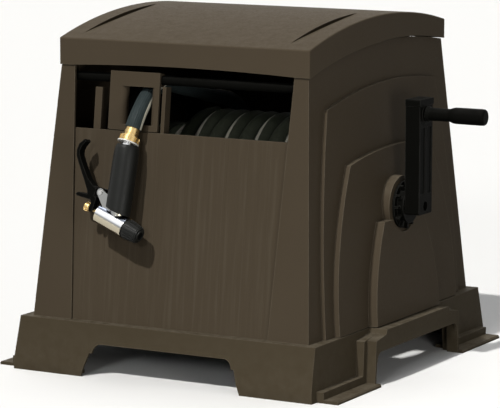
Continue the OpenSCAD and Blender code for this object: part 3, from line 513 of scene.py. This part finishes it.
# The base's resin is darker than the rest's. Its up-facing ledges get more dust and its edges more wear,
# which paint them paler: partly dust and wear, partly a painted highlight where light falls on them.
BASE_RESIN_WITH_HIGHLIGHT = resin_finish("base_resin", dark=(0.046, 0.036, 0.022), pale=(0.053, 0.042, 0.027),
                          rubbed=(0.15, 0.13, 0.10), dust=0.45, wear=0.6)
BLACK = moulded_finish("black_plastic", dark=(0.0025, 0.0025, 0.002), pale=(0.0045, 0.0045, 0.004),
                       rubbed=(0.10, 0.098, 0.09), roughness=0.42, grain_scale=1400.0, grain_depth=0.00006,
                       dust=0.05, wear=0.36, gloss=0.008)
RUBBER = moulded_finish("black_rubber", dark=(0.008, 0.0085, 0.0078), pale=(0.014, 0.0145, 0.0133),
                        rubbed=(0.05, 0.05, 0.046), roughness=0.42, grain_scale=2200.0, grain_depth=0.00005,
                        dust=0.05, wear=0.10, gloss=0.12)
WASHER = moulded_finish("pale_washer", dark=(0.62, 0.61, 0.57), pale=(0.68, 0.67, 0.63),
                        rubbed=(0.5, 0.48, 0.42), roughness=0.35, grain_scale=1500.0, grain_depth=0.00003,
                        dust=0.1, wear=0.1, gloss=0.5)
# One hose painted in two colours, as painted light: paler on the reel, where it lies in the cabinet's shade,
# and darker and bluer at its free end in front.
HOSE = hose_finish("garden_hose", dark=(0.058, 0.066, 0.046), pale=(0.092, 0.102, 0.074))
HOSE_END = hose_finish("garden_hose_end", dark=(0.018, 0.025, 0.026), pale=(0.034, 0.044, 0.045))
BRASS = metal_finish("machined_brass", (0.62, 0.45, 0.20), roughness=0.28, scratch_scale=300.0,
                     tarnish=(0.42, 0.29, 0.12))
ZINC = metal_finish("zinc_plate", (0.52, 0.52, 0.51), roughness=0.32, scratch_scale=400.0,
                    tarnish=(0.38, 0.37, 0.35))
# Chrome whose reflections are painted into its colour by which way each face looks.
CHROME_PAINTED_REFLECTIONS = chrome_with_painted_reflections("polished_chrome")


# Lamps and floor


def seen_rays(nodes):
    """1 for what the camera sees directly, in a gloss or through glass, and otherwise 0."""
    path = nodes.add("ShaderNodeLightPath").outputs
    either = nodes.calculate("MAXIMUM", path["Is Camera Ray"], path["Is Glossy Ray"])
    return nodes.calculate("MAXIMUM", either, path["Is Transmission Ray"])


def hang_lamp(name, kind, energy, color, comes_from, place=(0.0, 0.0, 0.0)):
    """A lamp whose light comes from the direction that is given."""
    lamp = bpy.data.lights.new(name, kind)
    lamp.energy = energy
    lamp.color = color
    hung = bpy.data.objects.new(name, lamp)
    hung.location = place
    hung.rotation_euler = Vector(comes_from).to_track_quat("Z", "Y").to_euler()
    bpy.context.scene.collection.objects.link(hung)
    return lamp


def hang_sun(name, energy, spread, comes_from, color=(1.0, 1.0, 1.0)):
    lamp = hang_lamp(name, "SUN", energy, color, comes_from)
    lamp.angle = math.radians(spread)


def hang_panel(name, power, width, place, aim, color):
    lamp = hang_lamp(name, "AREA", power, color, Vector(place) - Vector(aim), place)
    lamp.size = width


def light_surroundings():
    """A faint even light from all round, and plain white where the surroundings themselves are seen."""
    world = bpy.data.worlds.new("studio")
    bpy.context.scene.world = world
    world.use_nodes = True
    world.node_tree.nodes.clear()
    nodes = Nodes(world.node_tree)
    fill = nodes.add("ShaderNodeBackground", Color=(0.97, 0.98, 1.0, 1.0), Strength=0.08)
    plain = nodes.add("ShaderNodeBackground", Color=(1.0, 1.0, 1.0, 1.0), Strength=1.0)
    mix = nodes.add("ShaderNodeMixShader")
    nodes.join(seen_rays(nodes), mix.inputs[0])
    nodes.join(fill.outputs[0], mix.inputs[1])
    nodes.join(plain.outputs[0], mix.inputs[2])
    nodes.join(mix.outputs[0], nodes.add("ShaderNodeOutputWorld").inputs["Surface"])


def lay_floor():
    """A pale floor that throws less light on the object than its own colour would."""
    seen, lit = (0.82, 0.82, 0.815), (0.2, 0.2, 0.19)
    deselect()
    bpy.ops.mesh.primitive_plane_add(size=14.0, location=(0.0, 2.5, 0.0))
    floor = bpy.context.active_object
    floor.name = "floor"
    bpy.ops.object.transform_apply(location=True, rotation=True, scale=True)
    finish = Finish("pale_floor", seen, roughness=0.9, Specular_IOR_Level=0.1)
    finish.color(finish.blend(seen_rays(finish), lit, seen))
    floor.data.materials.append(finish.material)


def light_studio():
    hang_sun("key", energy=3.05, spread=1.6, comes_from=(-0.14, -1.0, 1.28), color=(1.0, 0.985, 0.955))
    hang_sun("overhead", energy=0.95, spread=30.0, comes_from=(-0.10, 0.25, 0.97))
    hang_sun("front_right_fill", energy=0.65, spread=10.0, comes_from=(0.17, -0.93, 0.32))
    hang_panel("side_panel_lamp", power=5.6, width=0.4, place=(1.25, -0.95, 0.30), aim=(0.25, -0.1, 0.15),
               color=(1.0, 0.98, 0.94))
    light_surroundings()


# Hose


def tube_along(name, path, radius, sides, loops_at):
    """A round tube along a path, its ends closed flat; UV x counts loops and y goes round it."""
    points = [Vector(place) for place in path]
    verts, faces, uvs = [], [], []
    for i, middle in enumerate(points):
        ahead = (points[min(i + 1, len(points) - 1)] - points[max(i - 1, 0)]).normalized()
        up = ahead.cross(Vector((1.0, 0.0, 0.0))).normalized()
        aside = up.cross(ahead)
        for k in range(sides):
            angle = 2.0 * math.pi * k / sides
            verts.append(middle + radius * (math.cos(angle) * aside + math.sin(angle) * up))
    for i in range(len(points) - 1):
        here, after = i * sides, (i + 1) * sides
        for k in range(sides):
            beside = (k + 1) % sides
            faces.append((here + k, here + beside, after + beside, after + k))
            low, high = k / sides, (k + 1) / sides
            uvs += [(loops_at[i], low), (loops_at[i], high),
                    (loops_at[i + 1], high), (loops_at[i + 1], low)]
    first = list(range(sides))
    last = [(len(points) - 1) * sides + k for k in first]
    faces += [tuple(reversed(first)), tuple(last)]
    uvs += [(loops_at[0], 0.5)] * sides + [(loops_at[-1], 0.5)] * sides
    mesh = bpy.data.meshes.new(name)
    mesh.from_pydata([tuple(place) for place in verts], [], faces)
    layer = mesh.uv_layers.new(name="UVMap")
    layer.data.foreach_set("uv", [number for uv in uvs for number in uv])
    mesh.update()
    piece = bpy.data.objects.new(name, mesh)
    bpy.context.scene.collection.objects.link(piece)
    return piece


def smooth_route(points, steps):
    """Points on a smooth curve through the route's points."""
    knots = [Vector(place) for place in points]
    knots = [2.0 * knots[0] - knots[1]] + knots + [2.0 * knots[-1] - knots[-2]]
    route = []
    for a, b, c, d in zip(knots, knots[1:], knots[2:], knots[3:]):
        for k in range(steps):
            t = k / steps
            route.append(0.5 * (2.0 * b + (c - a) * t + (2.0 * a - 5.0 * b + 4.0 * c - d) * t * t
                                + (3.0 * b - a - 3.0 * c + d) * t ** 3))
    route.append(knots[-2])
    return route


def lead_hose_end():
    """The end of the hose, from the reel over the guide down to the nozzle; also its route and length."""
    stripe_start = 0.50
    points = [(SLOT_X + x / 1000.0, y / 1000.0, z / 1000.0) for x, y, z in HOSE_END_WAY]
    route = smooth_route(points, steps=5)
    along = [0.0]
    for here, after in zip(route, route[1:]):
        along.append(along[-1] + (after - here).length)
    loops_at = [length / STRIPE_LOOP + stripe_start for length in along]
    piece = tube_along("hose_end", route, HOSE_RADIUS, sides=24, loops_at=loops_at)
    finish_piece(piece, HOSE_END, "hose_lead", smooth=50.0)
    return piece, route, along[-1]


def wind_layer(name, node, start, radius, loops, pitch, stripe_start):
    """A layer of hose on the reel, as one tube, with both ends run out straight."""
    rings = 48
    turns = []
    for i in range(loops * rings + 1):
        angle = 2.0 * math.pi * i / rings
        turns.append(Vector((MIDDLE_X + start + pitch * i / rings, radius * math.sin(angle),
                             AXLE_HEIGHT + radius * math.cos(angle))))
    run_out = Vector((0.0, 2.0 * HOSE_RADIUS, 0.0))
    path = [turns[0] - run_out] + turns + [turns[-1] + run_out]
    counted = [stripe_start + i / rings for i in range(loops * rings + 1)]
    loops_at = [counted[0]] + counted + [counted[-1]]
    piece = tube_along(name, path, HOSE_RADIUS, sides=18, loops_at=loops_at)
    finish_piece(piece, HOSE, node, smooth=50.0)


# Pieces of the cabinet


def crown_height(y):
    return CROWN_MIDDLE_Z + math.sqrt(CROWN_RADIUS ** 2 - (y - CROWN_MIDDLE_Y) ** 2)


def lid_rim(edge):
    """The edges round the crown of the lid, and the upright ones at its corners."""
    crowned = all(point.z > crown_height(point.y) - ON_CROWN for point in edge)
    upright = abs(edge[0].z - edge[1].z) > UPRIGHT_EDGE
    at_end = all(abs(abs(point.x - MIDDLE_X) - LID_HALF_WIDTH) < ON_SIDE for point in edge)
    at_front_or_back = all(abs(abs(point.y) - LID_HALF_DEPTH) < ON_SIDE for point in edge)
    if at_end and at_front_or_back:
        return True
    return (crowned or upright) and (at_end or at_front_or_back)


def cabinet_lid():
    """The lid, with the edges round its crown well rounded and the rest a little."""
    piece = merged_copy("lid", "cabinet_lid")
    pick(piece, "EDGE", lid_rim)
    bpy.ops.mesh.bevel(offset=RIM_ROUNDING, segments=RIM_STEPS, profile=0.5, clamp_overlap=True)
    bpy.ops.object.mode_set(mode="OBJECT")
    round_and_finish(piece, "lid", LID_RESIN_PAINTED_PALER, edge=0.0012)


def boarded_front():
    """The front panel with shallow upright grooves pressed into its outer face, as between boards."""
    piece = merged_copy("front_panel", "moulded_front_panel")
    low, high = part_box("front_panel")
    numbers = range(-GROOVES_EACH_SIDE, GROOVES_EACH_SIDE + 1)
    grooves = [MIDDLE_GROOVE_X + number * BOARD_WIDTH for number in numbers]
    grooves = [x for x in grooves if low.x + GROOVE_MARGIN < x < high.x - GROOVE_MARGIN]
    for x in grooves:
        for plane in (x - GROOVE_HALF_WIDTH, x, x + GROOVE_HALF_WIDTH):
            pick(piece, "FACE", lambda points: True)
            bpy.ops.mesh.bisect(plane_co=(plane, 0.0, 0.0), plane_no=(1.0, 0.0, 0.0))
            bpy.ops.object.mode_set(mode="OBJECT")

    def forward(point):
        """How far forward a point lies, as if the front stood upright."""
        return FRONT_LEAN * point.z - point.y

    outer_face = max(forward(vertex.co) for vertex in piece.data.vertices)

    def groove_floor(points):
        """The points of the outer face that lie on the middle of a groove."""
        on_middle = any(abs(points[0].x - x) < SAME_PLACE for x in grooves)
        return on_middle and forward(points[0]) > outer_face - OUTER_FACE_SLACK

    pick(piece, "VERT", groove_floor)
    bpy.ops.transform.translate(value=(0.0, GROOVE_DEPTH, 0.0))
    bpy.ops.object.mode_set(mode="OBJECT")
    round_and_finish(piece, "front_panel", BOARDS, edge=PANEL_EDGE, sharper_than=32.0)


def build_cabinet():
    cabinet_lid()
    moulded("base_frame", "moulded_base_frame", BASE_RESIN_WITH_HIGHLIGHT, edge=PANEL_EDGE)
    for side in ("right_side_panel", "left_side_panel"):
        moulded(side, "moulded_" + side, SIDE_RESIN_EDGE_HIGHLIGHT, edge=PANEL_EDGE)
    moulded("back_panel", "moulded_back_panel", RESIN, edge=PANEL_EDGE)
    moulded("guide_carriage", "moulded_guide_carriage", RESIN, edge=0.001)
    boarded_front()


def black_pieces(*nodes):
    for node in nodes:
        moulded(node, "moulded_" + node, BLACK, edge=SMALL_EDGE)


def build_bearings_and_inlet():
    black_pieces("right_bushing", "left_bushing", "inlet_cap")


def build_reel():
    black_pieces("reel_drum", "left_reel_flange", "right_reel_flange", "outlet_elbow")


def build_crank():
    black_pieces("crank_hub", "crank_arm")
    moulded("crank_grip", "turning_crank_grip", BLACK, smooth=50.0)


def build_nozzle():
    black_pieces("nozzle_trigger")
    moulded("nozzle_grip", "soft_nozzle_grip", RUBBER, smooth=40.0)
    moulded("nozzle_tip", "soft_nozzle_tip", RUBBER, edge=0.0005)
    moulded("nozzle_body", "plated_nozzle_body", CHROME_PAINTED_REFLECTIONS, edge=0.0004)
    moulded("coupling_nut", "machined_coupling_nut", BRASS, edge=0.0003)
    moulded("flow_knob", "machined_flow_knob", BRASS, edge=0.0003)


def wind_hose():
    """The layers on the reel: nine loops of the outer one, and the inner one's loop beyond them."""
    wind_layer("hose_outer_turns", "hose_outer_layer", start=END_TURN_X, radius=OUTER_LAYER_RADIUS,
               loops=9, pitch=-TURN_PITCH, stripe_start=1.68)
    wind_layer("hose_inner_turns", "hose_inner_layer", start=-END_TURN_X, radius=INNER_LAYER_RADIUS,
               loops=1, pitch=TURN_PITCH, stripe_start=0.3)


def finish_kept_solids():
    """Solids whose shape is right as packed, which only get their finish."""
    kept = (
        (ZINC, ("panel_screws", "cap_screws", "hinge_pins", "flange_screws", "crank_screw", "grip_pin",
                "trigger_pin")),
        (BRASS, ("inlet_fitting", "coupling_ferrule", "valve_stem")),
        (BLACK, ("upper_guide_rail", "lower_guide_rail")),
        (RUBBER, ("inlet_o_ring",)),
        (WASHER, ("coupling_washer",)),
        (HOSE, ("hose_core",)),
    )
    for finish, nodes in kept:
        for node in nodes:
            solid = frame["nodes"][node]
            solid.data.materials.clear()
            solid.data.materials.append(finish.material)


# Build

stand_camera()
light_studio()
lay_floor()
hose_end, hose_route, hose_length = lead_hose_end()
build_cabinet()
build_bearings_and_inlet()
build_reel()
build_crank()
build_nozzle()
wind_hose()
finish_kept_solids()

bpy.context.scene.view_settings.view_transform = "Standard"
bpy.context.view_layer.update()
